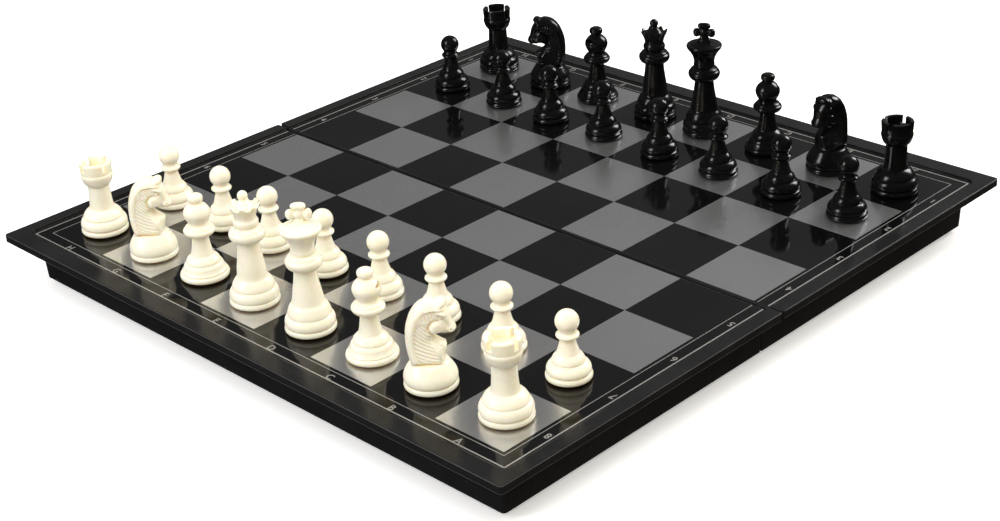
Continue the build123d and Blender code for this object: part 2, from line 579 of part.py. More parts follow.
# ---------------------------------------------------------------- the armies
MEN = {"king": king.part, "queen": queen.part, "rook": rook.part,
       "bishop": bishop.part, "knight": knight.part, "pawn": pawn}
# from file A, at +X, to file H
BACK_ROW = ["rook_a", "knight_b", "bishop_c", "king", "queen", "bishop_f", "knight_g", "rook_h"]
PAWN_ROW = ["pawn_" + file_name for file_name in "abcdefgh"]
# shift off the middle of the square in X and Y, and turn about the man's axis in degrees
STANDS = {
    "white_rook_a": (2.0, 0.0, 0.0), "white_knight_b": (-0.5, -2.0, 44.0),
    "white_bishop_c": (1.0, -1.5, 40.0), "white_king": (0.5, -2.5, 0.0),
    "white_queen": (-0.5, -2.0, 0.0), "white_bishop_f": (-0.5, -1.0, 120.0),
    "white_knight_g": (0.5, -2.5, 44.0), "white_rook_h": (-2.5, -2.0, 0.0),
    "white_pawn_a": (0.5, 0.0, 0.0), "white_pawn_b": (1.0, 0.5, 0.0),
    "white_pawn_c": (-1.0, 1.0, 0.0), "white_pawn_d": (1.0, 0.5, 0.0),
    "white_pawn_e": (2.0, 0.0, 0.0), "white_pawn_f": (0.5, 0.0, 0.0),
    "white_pawn_g": (2.0, 0.5, 0.0), "white_pawn_h": (0.0, 0.0, 0.0),
    "black_rook_a": (3.0, -1.5, 5.5), "black_knight_b": (1.5, 0.0, -96.0),
    "black_bishop_c": (1.0, 0.5, 40.0), "black_king": (-0.2, -1.2, -17.0),
    "black_queen": (2.5, 0.5, 9.0), "black_bishop_f": (0.0, 0.0, -95.0),
    "black_knight_g": (2.3, -0.2, -136.0), "black_rook_h": (0.0, 0.0, 0.0),
    "black_pawn_a": (1.5, -1.0, 0.0), "black_pawn_b": (0.5, 0.0, 0.0),
    "black_pawn_c": (0.0, 0.0, 0.0), "black_pawn_d": (0.0, 0.0, 0.0),
    "black_pawn_e": (-0.5, 0.5, 0.0), "black_pawn_f": (0.0, 0.0, 0.0),
    "black_pawn_g": (1.5, 1.0, 0.0), "black_pawn_h": (0.0, 0.0, 0.0),
}


def place(army, title, col, row_from_fold, side):
    """Save one man on its square; col 0 is file A, and row 1 is beside the fold."""
    name = f"{army}_{title}"
    shift_x, shift_y, turn = STANDS[name]
    x = (3.5 - col) * SQUARE + shift_x
    y = side * (FOLD_MARGIN + (row_from_fold - 0.5) * SQUARE) + shift_y
    with BuildPart() as man:
        with Locations(Location((x, y, PIECE_Z), (0, 0, turn))):
            add(MEN[title.split("_")[0]])
    save(man.part, name)


for army, side in (("white", -1), ("black", 1)):
    for row_from_fold, titles in ((4, BACK_ROW), (3, PAWN_ROW)):
        for col, title in enumerate(titles):
            place(army, title, col, row_from_fold, side)
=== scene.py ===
"""Folding magnetic chess set, opened flat, with all 32 men on their home squares.

The fold runs along X at y = 0. The white half lies towards -Y and the black half towards +Y,
file A is at +X, +Z is up and the floor is at z = 0. Design sizes are in millimetres and are
scaled by MM; shader distances, lights and the camera are in metres.
"""
import bpy
import bmesh
import math
import numpy as np
from mathutils import Vector, Matrix


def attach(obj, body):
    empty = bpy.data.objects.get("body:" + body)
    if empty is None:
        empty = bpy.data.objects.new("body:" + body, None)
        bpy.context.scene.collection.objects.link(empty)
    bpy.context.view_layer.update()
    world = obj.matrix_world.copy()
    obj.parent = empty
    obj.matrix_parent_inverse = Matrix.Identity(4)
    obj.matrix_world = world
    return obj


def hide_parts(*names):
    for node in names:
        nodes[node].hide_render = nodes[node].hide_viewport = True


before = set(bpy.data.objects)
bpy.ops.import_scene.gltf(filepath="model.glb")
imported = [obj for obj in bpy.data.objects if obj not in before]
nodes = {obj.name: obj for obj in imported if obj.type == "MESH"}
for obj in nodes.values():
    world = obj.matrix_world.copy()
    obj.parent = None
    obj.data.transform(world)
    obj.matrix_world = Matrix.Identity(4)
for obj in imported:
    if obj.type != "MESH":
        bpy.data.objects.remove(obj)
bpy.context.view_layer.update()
scene = bpy.context.scene

MM = 0.001
SQUARE = 35.0               # pitch of the squares
FOLD_MARGIN = 1.75          # from the fold to the first row of squares
PLAY_Z = 23.5               # top of the playing sheet
PIECE_Z = PLAY_Z + 0.08     # where the men stand
HALVES = (("white", -1), ("black", 1))      # name and the side of y = 0 it lies on


# ------------------------------------------------------------------ shader node helpers
def rgba(color):
    return (*color, 1.0)


class Graph:
    """Adds nodes to a tree. A value may be a number, a tuple or the output of another node."""

    def __init__(self, tree):
        self.tree = tree

    def feed(self, socket, value):
        if isinstance(value, bpy.types.NodeSocket):
            self.tree.links.new(value, socket)
        else:
            socket.default_value = value

    def node(self, kind, inputs=None, **settings):
        node = self.tree.nodes.new(kind)
        for key, value in settings.items():
            setattr(node, key, value)
        for key, value in (inputs or {}).items():
            self.feed(node.inputs[key], value)
        return node

    def remap(self, value, low, high, start=0.3, end=0.7, **settings):
        """Maps start..end of the value onto low..high."""
        inputs = {"Value": value, "From Min": start, "From Max": end, "To Min": low, "To Max": high}
        return self.node("ShaderNodeMapRange", inputs, **settings).outputs["Result"]

    def math(self, operation, a, b):
        return self.node("ShaderNodeMath", {0: a, 1: b}, operation=operation).outputs[0]

    def dot(self, a, b):
        node = self.node("ShaderNodeVectorMath", {0: a, 1: b}, operation="DOT_PRODUCT")
        return node.outputs["Value"]

    def ramp(self, factor, stops):
        """Colour ramp from (position, colour or grey level) stops."""
        node = self.node("ShaderNodeValToRGB", {"Fac": factor})
        elements = node.color_ramp.elements
        while len(elements) < len(stops):
            elements.new(0.5)
        for element, (position, color) in zip(elements, stops):
            element.position = position
            element.color = rgba(color if isinstance(color, tuple) else (color,) * 3)
        return node.outputs["Color"]

    def tones(self, factor, first, last, start=0.3, end=0.7):
        """Two-stop ramp."""
        return self.ramp(factor, [(start, first), (end, last)])


class Material(Graph):
    """Principled material, textured in object coordinates."""

    def __init__(self, name):
        self.material = bpy.data.materials.new(name)
        self.material.use_nodes = True
        super().__init__(self.material.node_tree)
        self.shader = self.tree.nodes["Principled BSDF"]
        self.coords = self.node("ShaderNodeTexCoord").outputs["Object"]

    def noise(self, scale, detail=3.0, roughness=0.5, stretch=None):
        vector = self.coords
        if stretch:
            mapping = self.node("ShaderNodeMapping", {"Vector": vector, "Scale": stretch})
            vector = mapping.outputs["Vector"]
        inputs = {"Vector": vector, "Scale": scale, "Detail": detail, "Roughness": roughness}
        return self.node("ShaderNodeTexNoise", inputs).outputs["Fac"]

    def mix(self, factor, a, color):
        """Blends from a colour output to a fixed colour."""
        # colour mixing uses inputs 0, 6 and 7 and output 2 of the node
        inputs = {0: factor, 6: a, 7: rgba(color)}
        return self.node("ShaderNodeMix", inputs, data_type="RGBA").outputs[2]

    def bump(self, height, strength, distance, normal=None):
        inputs = {"Height": height, "Strength": strength, "Distance": distance}
        if normal:
            inputs["Normal"] = normal
        return self.node("ShaderNodeBump", inputs).outputs["Normal"]

    def bevel(self, radius, samples):
        node = self.node("ShaderNodeBevel", {"Radius": radius}, samples=samples)
        return node.outputs["Normal"]

    def finish(self, inputs):
        """Feeds the Principled shader and returns the material."""
        for key, value in inputs.items():
            self.feed(self.shader.inputs[key], value)
        return self.material


# ------------------------------------------------------------------ materials
def board_plastic(name, base=0.0125, rough=0.15):
    """Moulded black plastic: fine satin grain, faint rub marks, and edges painted lighter, partly
    as wear and partly as a painted edge highlight.
    """
    m = Material(name)
    grain = m.noise(scale=2600, detail=2.0, roughness=0.6)
    cloud = m.noise(scale=38, detail=4.0, roughness=0.6)
    streaks = m.noise(scale=70, detail=5.0, roughness=0.7, stretch=(1.0, 9.0, 3.0))
    color = m.tones(cloud, (base * 0.8, base * 0.8, base * 0.85),
                    (base * 1.25, base * 1.25, base * 1.3))
    rub = m.tones(streaks, 0.0, 1.0, start=0.57, end=0.72)
    # edges are painted lighter where the softened normal turns away from the flat face: partly
    # wear, partly a painted edge highlight
    softened = m.bevel(radius=0.00045, samples=6)
    flatness = m.dot(softened, m.node("ShaderNodeNewGeometry").outputs["Normal"])
    edge = m.math("MULTIPLY", m.remap(flatness, 0.0, 1.0, start=0.985, end=0.86),
                  m.remap(m.noise(scale=160, roughness=0.6), 0.35, 1.0, start=0.35, end=0.65))
    body = m.mix(m.math("MULTIPLY", rub, 0.35), color, (0.030, 0.030, 0.031))
    worn_and_highlit = m.mix(m.math("MULTIPLY", edge, 0.7), body, (0.07, 0.07, 0.073))
    roughness = m.math("ADD", m.remap(cloud, rough - 0.05, rough + 0.05),
                       m.math("MULTIPLY", m.math("MAXIMUM", rub, edge), 0.14))
    rounded = m.bevel(radius=0.0007, samples=4)
    ripple = m.bump(m.noise(scale=420, detail=2.0), strength=0.10, distance=0.0001,
                    normal=rounded)
    return m.finish({
        "Base Color": worn_and_highlit,
        "Roughness": roughness,
        "Specular IOR Level": 0.20,
        "Normal": m.bump(grain, strength=0.18, distance=0.00005, normal=ripple),
    })


def gloss_sheet(name):
    """Gloss black printed sheet that mirrors the men standing on it."""
    m = Material(name)
    smudge = m.noise(scale=22, detail=4.0, roughness=0.6)
    fine = m.noise(scale=900, detail=2.0)
    waves = m.bump(m.noise(scale=55, detail=2.0), strength=0.06, distance=0.0004)
    return m.finish({
        "Base Color": m.tones(smudge, (0.0022, 0.0022, 0.0026), (0.0042, 0.0041, 0.0043)),
        "Roughness": m.remap(smudge, 0.05, 0.11),
        "Normal": m.bump(fine, strength=0.05, distance=0.00003, normal=waves),
        "IOR": 1.42,
    })


def silver_sheet(name):
    """Silver-grey squares: fine metallic flake under a clear coat."""
    m = Material(name)
    flake = m.noise(scale=3200, detail=2.0, roughness=0.7)
    cloud = m.noise(scale=16, roughness=0.6)
    speckle = m.tones(flake, (0.55, 0.555, 0.575), (0.74, 0.745, 0.77), end=0.72)
    return m.finish({
        "Base Color": m.mix(m.remap(cloud, 0.0, 0.22), speckle, (0.66, 0.665, 0.685)),
        "Metallic": 0.92,
        "Roughness": m.remap(cloud, 0.25, 0.32),
        "Coat Weight": 0.8,
        "Coat Roughness": 0.07,
        "Normal": m.bump(flake, strength=0.10, distance=0.00004),
    })


def silver_ink(name):
    m = Material(name)
    grain = m.noise(scale=1500, detail=2.0)
    return m.finish({
        "Base Color": m.tones(grain, (0.34, 0.335, 0.33), (0.48, 0.475, 0.46)),
        "Roughness": 0.38,
        "Metallic": 0.5,
        "Normal": m.bump(grain, strength=0.1, distance=0.00003),
    })


def ivory_plastic(name):
    """Off-white moulded plastic with some depth: amber shade painted where it is carved or in
    shade, found by ambient occlusion.
    """
    m = Material(name)
    cloud = m.noise(scale=110, roughness=0.55)
    fine = m.noise(scale=1400, detail=2.0)
    # painted shade: ambient occlusion turns hollows darker amber
    occlusion = m.node("ShaderNodeAmbientOcclusion", {"Distance": 0.0045}, samples=8)
    amber_recess_shade = m.ramp(occlusion.outputs["AO"], [
        (0.15, (0.93, 0.79, 0.52)), (0.55, (0.93, 0.85, 0.65)), (0.92, (0.925, 0.875, 0.725))])
    blotches = m.remap(cloud, 0.0, 0.14, start=0.35, end=0.65)
    waves = m.bump(cloud, strength=0.10, distance=0.0002)
    return m.finish({
        "Base Color": m.mix(blotches, amber_recess_shade, (0.93, 0.89, 0.76)),
        "Subsurface Weight": 0.45,
        "Subsurface Radius": (0.0028, 0.0020, 0.0010),
        "Subsurface Scale": 1.0,
        "Roughness": m.remap(cloud, 0.24, 0.32),
        "Normal": m.bump(fine, strength=0.08, distance=0.00005, normal=waves),
    })


def black_piece_plastic(name):
    m = Material(name)
    cloud = m.noise(scale=120, roughness=0.55)
    fine = m.noise(scale=1300, detail=2.0)
    waves = m.bump(cloud, strength=0.12, distance=0.0003)
    return m.finish({
        "Base Color": m.tones(cloud, (0.0020, 0.0020, 0.0022), (0.0040, 0.0040, 0.0042)),
        "Roughness": m.remap(cloud, 0.15, 0.23),
        "Specular IOR Level": 0.42,
        "Normal": m.bump(fine, strength=0.08, distance=0.00005, normal=waves),
    })


def brushed_steel(name):
    m = Material(name)
    bright = (0.55, 0.55, 0.56)
    brushing = m.noise(scale=300, roughness=0.6, stretch=(1.0, 30.0, 30.0))
    return m.finish({
        "Base Color": m.tones(brushing, tuple(c * 0.8 for c in bright), bright),
        "Metallic": 1.0,
        "Roughness": m.remap(brushing, 0.28, 0.40),
    })


def rubber(name):
    m = Material(name)
    grain = m.noise(scale=1500, roughness=0.6)
    return m.finish({
        "Base Color": m.tones(grain, (0.012, 0.012, 0.012), (0.03, 0.03, 0.03)),
        "Roughness": 0.75,
        "Normal": m.bump(grain, strength=0.3, distance=0.0001),
    })


def pale_floor(name):
    m = Material(name)
    cloud = m.noise(scale=3.0, detail=2.0)
    return m.finish({
        "Base Color": m.tones(cloud, (0.90, 0.90, 0.90), (0.92, 0.92, 0.92)),
        "Emission Color": (1, 1, 1, 1),
        "Emission Strength": 0.36,
        "Roughness": 0.9,
        "Specular IOR Level": 0.1,
    })


BOARD = board_plastic("board_plastic")
# much lighter plastic for the rim tubes, which stand in for edge highlights
RIM_HIGHLIGHT = board_plastic("board_plastic_painted_highlight", base=0.12, rough=0.34)
SHEET = gloss_sheet("playing_sheet_gloss")
SILVER = silver_sheet("silver_squares_satin")
INK = silver_ink("silver_ink")
IVORY = ivory_plastic("ivory_plastic")
EBONY = black_piece_plastic("black_piece_plastic")
STEEL = brushed_steel("steel")
RUBBER = rubber("rubber_black")

HALF_MATERIALS = {"shell": BOARD, "playing_sheet": SHEET, "silver_squares": SILVER,
                  "steel_sheet": STEEL, "feet": RUBBER}
SHARED_MATERIALS = {"hinge_pins": STEEL, "latch_slider": BOARD, "latch_retainer": BOARD,
                    "latch_screws": STEEL}


def set_material(mesh, material):
    mesh.materials.clear()
    mesh.materials.append(material)


for half, _ in HALVES:
    for part, material in HALF_MATERIALS.items():
        set_material(nodes[f"{half}_half_{part}"].data, material)
for part, material in SHARED_MATERIALS.items():
    set_material(nodes[part].data, material)


# ------------------------------------------------------------------ mesh helpers
def add_object(name, data):
    obj = bpy.data.objects.new(name, data)
    scene.collection.objects.link(obj)
    return obj


def smooth_by_angle(mesh, degrees):
    for polygon in mesh.polygons:
        polygon.use_smooth = True
    mesh.set_sharp_from_angle(angle=math.radians(degrees))


def tidy_mesh(mesh, merge=None, outward=True):
    """Merges vertices closer than merge, then turns the faces outward."""
    bm = bmesh.new()
    bm.from_mesh(mesh)
    if merge:
        bmesh.ops.remove_doubles(bm, verts=bm.verts, dist=merge)
    if outward:
        bmesh.ops.recalc_face_normals(bm, faces=bm.faces)
    bm.to_mesh(mesh)
    bm.free()


def mesh_object(name, verts, faces, material, smooth=None):
    mesh = bpy.data.meshes.new(name)
    mesh.from_pydata(verts, [], faces)
    mesh.update()
    obj = add_object(name, mesh)
    mesh.materials.append(material)
    if smooth is not None:
        smooth_by_angle(mesh, smooth)
    return obj


def temp_object(name, verts, faces):
    mesh = bpy.data.meshes.new(name)
    mesh.from_pydata(verts, [], faces)
    tidy_mesh(mesh)
    return add_object(name, mesh)


def evaluated_mesh(obj):
    depsgraph = bpy.context.evaluated_depsgraph_get()
    return bpy.data.meshes.new_from_object(obj.evaluated_get(depsgraph), depsgraph=depsgraph)


def boolean(target, other, operation):
    """Cuts or joins the other object into the target's own mesh and removes it."""
    modifier = target.modifiers.new("b", "BOOLEAN")
    modifier.operation = operation
    modifier.solver = "EXACT"
    modifier.object = other
    mesh = evaluated_mesh(target)
    target.modifiers.clear()
    target.data = mesh
    bpy.data.objects.remove(other)


def spun(x, y, angle):
    """Point turned about Z."""
    return (x * math.cos(angle) - y * math.sin(angle), x * math.sin(angle) + y * math.cos(angle))


def tube_faces(n):
    """Faces of a capped tube between two rings of n vertices."""
    caps = [tuple(range(n)), tuple(range(2 * n - 1, n - 1, -1))]
    return caps + [(i, n + i, n + (i + 1) % n, (i + 1) % n) for i in range(n)]


# ------------------------------------------------------------------ turned bodies
def catmull_rom(p0, p1, p2, p3, t):
    return 0.5 * ((2 * p1) + (-p0 + p2) * t + (2 * p0 - 5 * p1 + 4 * p2 - p3) * t * t
                  + (-p0 + 3 * p1 - 3 * p2 + p3) * t ** 3)


def smooth_profile(points, steps=4):
    """Curve through (r, z[, 1]) points; a third entry marks a corner that stays crisp."""
    runs = []
    run = [points[0]]
    for point in points[1:]:
        run.append(point)
        if len(point) > 2:
            runs.append(run)
            run = [point]
    if len(run) > 1:
        runs.append(run)
    profile = []
    for run in runs:
        p = np.array([point[:2] for point in run], float)
        curve = [p[0]]
        if len(p) > 2:
            ends = np.vstack([2 * p[0] - p[1], p, 2 * p[-1] - p[-2]])
            curve = [catmull_rom(*ends[i - 1:i + 3], k / steps)
                     for i in range(1, len(ends) - 2) for k in range(steps)]
        curve.append(p[-1])
        profile += curve[(1 if profile else 0):]
    return [(max(0.0, r), z) for r, z in profile]


def lathe(points, n=96):
    """Closed surface of revolution from a profile that starts and ends on the axis."""
    verts, rings, faces = [], [], []
    for r, z in smooth_profile(points):
        if r < 1e-5:
            rings.append([len(verts)])
            verts.append((0.0, 0.0, z))
        else:
            rings.append(list(range(len(verts), len(verts) + n)))
            verts += [(r * math.cos(2 * math.pi * k / n), r * math.sin(2 * math.pi * k / n), z)
                      for k in range(n)]
    for a, b in zip(rings, rings[1:]):
        if len(a) == 1 and len(b) == 1:
            continue
        for k in range(n):
            j = (k + 1) % n
            if len(a) == 1:
                faces.append((a[0], b[j], b[k]))
            elif len(b) == 1:
                faces.append((a[k], a[j], b[0]))
            else:
                faces.append((a[k], a[j], b[j], b[k]))
    return verts, faces


# Profiles from the underside to the tip: radius, height above the sheet, and 1 at a crisp corner.
def base_rim(r):
    return [(0, 0.62), (r - 0.45, 0.62, 1), (r - 0.1, 0.95), (r, 1.5), (r - 0.08, 2.1),
            (r - 0.38, 2.65), (r - 0.62, 2.85, 1)]


def ball(radius, half_height, z, step):
    """Rounded finial from 40 degrees below its middle up to near the axis."""
    return [(radius * math.cos(math.radians(a)), z + half_height * math.sin(math.radians(a)))
            for a in range(-40, 89, step)]


PIECE_RIM = base_rim(10.5)      # every man but the pawn

PAWN = base_rim(9.1) + [
    (8.28, 3.05, 1), (8.62, 3.7), (8.62, 4.5), (8.35, 5.4), (7.75, 6.3), (6.95, 7.05),
    (6.22, 7.4, 1), (6.36, 7.9), (6.2, 8.6), (5.75, 9.5), (5.1, 10.3), (4.5, 10.9, 1),
    (4.15, 11.9), (3.75, 13.1), (3.4, 14.5), (3.05, 15.9), (2.92, 16.9, 1), (3.6, 17.25),
    (4.25, 17.8), (4.5, 18.35), (4.38, 18.85), (3.9, 19.3), (3.5, 19.7, 1), (3.36, 20.2, 1),
    (3.44, 20.7)] + ball(radius=4.62, half_height=4.65, z=24.05, step=8) + [(0, 28.7)]

ROOK = PIECE_RIM + [
    (9.95, 3.05, 1), (10.32, 3.8), (10.32, 4.7), (10.1, 5.7), (9.55, 6.7), (8.75, 7.45, 1),
    (8.82, 7.9), (8.5, 8.7), (7.9, 9.7), (7.05, 10.6), (6.2, 11.25), (5.55, 11.6, 1),
    (5.32, 12.6), (5.15, 14.0), (4.98, 16.0), (4.85, 18.4), (4.75, 20.6), (4.72, 22.6, 1),
    (5.3, 23.1), (5.95, 23.9), (6.38, 24.8), (6.72, 25.8), (6.95, 26.6), (7.1, 27.4),
    (7.0, 28.1), (6.78, 28.5, 1), (6.85, 29.0), (6.95, 30.2), (7.08, 32.0), (7.18, 33.2, 1),
    (6.85, 33.75, 1), (5.45, 33.75, 1), (5.1, 33.4, 1), (5.05, 29.9, 1), (4.75, 29.55, 1),
    (0, 29.4)]

BISHOP = PIECE_RIM + [
    (9.55, 3.05, 1), (9.55, 3.6), (9.0, 4.3), (8.55, 5.2), (8.35, 5.9), (7.9, 6.7),
    (7.15, 7.25, 1), (7.2, 7.8), (6.85, 8.7), (6.1, 9.6), (5.3, 10.3), (4.85, 10.7, 1),
    (4.6, 11.6), (4.3, 12.8), (4.0, 14.4), (3.75, 16.2), (3.5, 18.0), (3.42, 19.2, 1),
    (4.4, 19.5), (5.7, 20.15), (6.45, 21.0), (6.68, 21.8), (6.5, 22.5), (5.85, 23.05, 1),
    (5.75, 23.5), (5.1, 24.1), (4.2, 24.5, 1), (3.98, 25.1, 1), (4.4, 26.1), (5.05, 27.3),
    (5.53, 28.6), (5.7, 29.7), (5.53, 30.8), (5.0, 31.9), (4.2, 32.9), (3.3, 33.7),
    (2.35, 34.3, 1), (2.4, 34.7, 1), (2.85, 35.0), (3.2, 35.6), (3.28, 36.4), (3.12, 37.2),
    (2.55, 37.8), (1.5, 38.2), (0, 38.3)]

ROYAL_FOOT = PIECE_RIM + [
    (9.9, 3.05, 1), (10.2, 3.8), (10.2, 4.8), (9.95, 5.8), (9.4, 6.8), (8.75, 7.35, 1)]

QUEEN = ROYAL_FOOT + [
    (8.8, 7.9), (8.55, 8.9), (8.0, 10.0), (7.3, 11.1), (6.6, 11.9, 1), (6.3, 12.8),
    (6.1, 14.2), (5.95, 16.0), (5.7, 17.8), (5.35, 20.0), (5.0, 22.4), (4.7, 25.0),
    (4.45, 28.0, 1), (5.4, 28.35), (6.6, 29.1), (7.35, 30.3), (7.5, 31.4), (7.3, 32.3),
    (6.5, 33.1, 1), (6.35, 33.6), (5.5, 34.2), (4.7, 34.6, 1), (5.0, 35.2), (5.25, 36.1),
    (5.2, 37.1), (4.75, 37.9, 1), (4.55, 38.6), (4.65, 39.5), (5.0, 40.8), (5.6, 42.2),
    (6.2, 43.4), (6.62, 44.35, 1), (6.3, 44.5, 1), (5.4, 43.5), (4.6, 43.3, 1), (3.7, 43.9),
    (2.8, 44.9), (2.0, 45.8), (1.62, 46.4, 1)] \
    + ball(radius=2.12, half_height=2.1, z=48.0, step=12) + [(0, 50.1)]

KING = ROYAL_FOOT + [
    (8.85, 7.9), (8.65, 9.0), (8.2, 10.2), (7.7, 11.3), (7.0, 12.2, 1), (6.65, 12.8),
    (6.35, 14.2), (6.05, 16.0), (5.72, 18.0), (5.35, 20.0), (5.0, 22.0), (4.68, 24.5),
    (4.45, 27.2, 1), (5.4, 27.55), (6.6, 28.4), (7.35, 29.6), (7.5, 30.7), (7.3, 31.6),
    (6.5, 32.5, 1), (6.35, 33.0), (5.5, 33.6), (4.7, 34.0, 1), (4.9, 34.6), (4.98, 35.4),
    (4.85, 36.1, 1), (4.9, 37.2), (5.2, 38.6), (5.75, 40.0), (6.6, 41.4), (7.6, 42.7),
    (8.2, 43.6), (8.42, 44.3), (8.28, 44.9), (7.85, 45.2), (7.4, 45.15, 1), (6.6, 45.5),
    (5.2, 46.2), (3.9, 46.8), (2.9, 47.3, 1), (2.6, 47.8), (1.5, 48.2), (0, 48.4)]

KNIGHT_BASE = PIECE_RIM + [
    (9.95, 3.05, 1), (10.3, 3.7), (10.38, 4.6), (10.25, 5.7), (9.75, 7.1), (8.95, 8.5),
    (8.25, 9.6), (7.75, 10.4, 1), (7.3, 10.9), (6.2, 11.2), (0, 11.3)]


def build_pawn():
    return temp_object("m_pawn", *lathe(PAWN))


def build_rook():
    """Tower with four notches cut through its parapet."""
    inner, outer, half_width = 3.9, 9, 1.15
    floor_z, above_z = 29.95, 38.0
    corners = ((inner, -half_width), (outer, -half_width), (outer, half_width),
               (inner, half_width))
    faces = [(3, 2, 1, 0), (4, 5, 6, 7), (0, 1, 5, 4), (1, 2, 6, 5), (2, 3, 7, 6), (3, 0, 4, 7)]
    rook = temp_object("m_rook", *lathe(ROOK))
    for k in range(4):
        verts = [(*spun(x, y, math.radians(90 * k)), z)
                 for z in (floor_z, above_z) for x, y in corners]
        boolean(rook, temp_object("cut", verts, faces), "DIFFERENCE")
    return rook


def build_bishop():
    """Mitre with an almond-shaped slit entering from +X and sloping down towards its back."""
    n = 24
    centre_x, centre_z = 6.2, 32.6
    slope_x, slope_z = 0.87, 0.5            # direction of the cut
    half_width, half_height = 3.3, 0.8
    tip_power = 0.35                        # thins the almond towards its ends
    verts = []
    for reach in (-5.6, 4.0):
        for i in range(n):
            t = 2 * math.pi * i / n
            w = half_height * math.sin(t) * abs(math.sin(t)) ** tip_power
            verts.append((centre_x + reach * slope_x - w * slope_z, half_width * math.cos(t),
                          centre_z + reach * slope_z + w * slope_x))
    bishop = temp_object("m_bishop", *lathe(BISHOP))
    boolean(bishop, temp_object("cut", verts, tube_faces(n)), "DIFFERENCE")
    return bishop


def build_queen():
    """Crown with eight oval scallops cut through its lip."""
    n, scallops = 20, 8
    centre_z, half_width, half_height = 45.2, 1.9, 2.15
    queen = temp_object("m_queen", *lathe(QUEEN))
    for k in range(scallops):
        angle = 2 * math.pi * (k + 0.5) / scallops
        verts = []
        for reach in (4.1, 9.0):
            for i in range(n):
                t = 2 * math.pi * i / n
                verts.append((*spun(reach, half_width * math.cos(t), angle),
                              centre_z + half_height * math.sin(t)))
        boolean(queen, temp_object("cut", verts, tube_faces(n)), "DIFFERENCE")
    return queen


# ------------------------------------------------------------------ reliefs
# A relief is a height field in the X-Z plane, built on both sides of y = 0 inside an outline.
def outline_curve(points, per=6):
    """Closed curve through the points, straight across the edge from the last to the first."""
    p = np.array(points, float)
    n = len(p)
    curve = []
    for i in range(n):
        for k in range(per):
            t = k / per
            if i == n - 1:
                curve.append(p[i] + (p[0] - p[i]) * t)
            else:
                curve.append(catmull_rom(p[i - 1], p[i], p[i + 1], p[(i + 2) % n], t))
    return np.array(curve)


def segment_distance(points, starts, ends):
    """Distance from many points to the nearest of many segments, and the nearest place on it."""
    best = np.full(len(points), 1e9)
    nearest = np.zeros_like(points)
    for a, b in zip(starts, ends):
        d = b - a
        t = np.clip(((points - a) @ d) / max(1e-12, float(d @ d)), 0, 1)
        place = a + t[:, None] * d
        squared = ((points - place) ** 2).sum(1)
        closer = squared < best
        best[closer] = squared[closer]
        nearest[closer] = place[closer]
    return np.sqrt(best), nearest


def relief_grid(line, step):
    """Grid of cells inside a closed outline, its border vertices moved onto the outline."""
    following = np.roll(line, -1, 0)
    low, high = line.min(0) - 2 * step, line.max(0) + 3 * step
    grid_x, grid_z = np.meshgrid(np.arange(low[0], high[0], step),
                                 np.arange(low[1], high[1], step), indexing="ij")
    shape = grid_x.shape
    points = np.stack([grid_x.ravel(), grid_z.ravel()], 1)
    x, z = points[:, 0], points[:, 1]
    inside = np.zeros(len(points), bool)
    for (x0, z0), (x1, z1) in zip(line, following):
        rise_z = (z1 - z0) if z1 != z0 else 1e-9
        inside ^= ((z0 > z) != (z1 > z)) & (x < (x1 - x0) * (z - z0) / rise_z + x0)
    distance, nearest = segment_distance(points, line, following)
    keep = (inside & (distance > 0.45 * step)).reshape(shape)
    cell = keep[:-1, :-1] & keep[1:, :-1] & keep[1:, 1:] & keep[:-1, 1:]
    cells_round = np.zeros(shape, int)
    for i in (0, 1):
        for j in (0, 1):
            cells_round[i:i + cell.shape[0], j:j + cell.shape[1]] += cell
    used = cells_round > 0
    border = used & (cells_round < 4)
    place = points.reshape(shape + (2,)).copy()
    place[border] = nearest.reshape(shape + (2,))[border]
    depth = distance.reshape(shape).copy()
    depth[border] = 0.0
    return {"x": place[..., 0], "z": place[..., 1], "depth": depth,
            "used": used, "border": border, "cell": cell}


def relief_object(name, grid, height):
    """Closed skin at the given height on both sides of the middle plane."""
    x, z, used, border = grid["x"], grid["z"], grid["used"], grid["border"]
    height = np.maximum(height, 0.12)
    near = -np.ones(used.shape, int)        # vertex numbers on the -Y side
    far = near.copy()                       # and on the +Y side
    verts, faces = [], []
    for i, j in np.argwhere(used):
        near[i, j] = len(verts)
        if border[i, j]:
            verts.append((x[i, j], 0.0, z[i, j]))
            far[i, j] = near[i, j]
        else:
            verts.append((x[i, j], -height[i, j], z[i, j]))
            far[i, j] = len(verts)
            verts.append((x[i, j], height[i, j], z[i, j]))
    for i, j in np.argwhere(grid["cell"]):
        corners = ((i, j), (i + 1, j), (i + 1, j + 1), (i, j + 1))
        if all(border[c] for c in corners):
            continue
        faces.append(tuple(near[c] for c in corners))
        faces.append(tuple(far[c] for c in (corners[0], *corners[:0:-1])))
    obj = temp_object(name, verts, faces)
    tidy_mesh(obj.data, merge=0.01)
    return obj


def rounded(depth, radius):
    """Quarter-round from 0 at the outline to 1 at the given depth inside it."""
    return np.sqrt(np.clip(1 - (1 - np.clip(depth / radius, 0, 1)) ** 2, 0, 1))


def bell(offset, width):
    return np.exp(-(offset / width) ** 2)


def rise(value, start, end):
    """Smooth step from 0 at start to 1 at end."""
    t = np.clip((value - start) / (end - start), 0, 1)
    return t * t * (3 - 2 * t)


def fall(value, start, end):
    return 1 - rise(value, start, end)


# +X half of the outline of the king's cross: x, z
CROSS_HALF = [
    (2.35, 46.8), (2.2, 48.0), (2.05, 49.0), (3.1, 48.65), (4.3, 48.7), (5.05, 49.5),
    (5.3, 50.8), (5.05, 52.0), (4.3, 52.75), (3.2, 52.85), (2.2, 52.5), (2.85, 53.2),
    (3.1, 54.2), (2.7, 55.05), (1.6, 55.5), (0.6, 55.6)]
CROSS = CROSS_HALF + [(-x, z) for x, z in reversed(CROSS_HALF)]


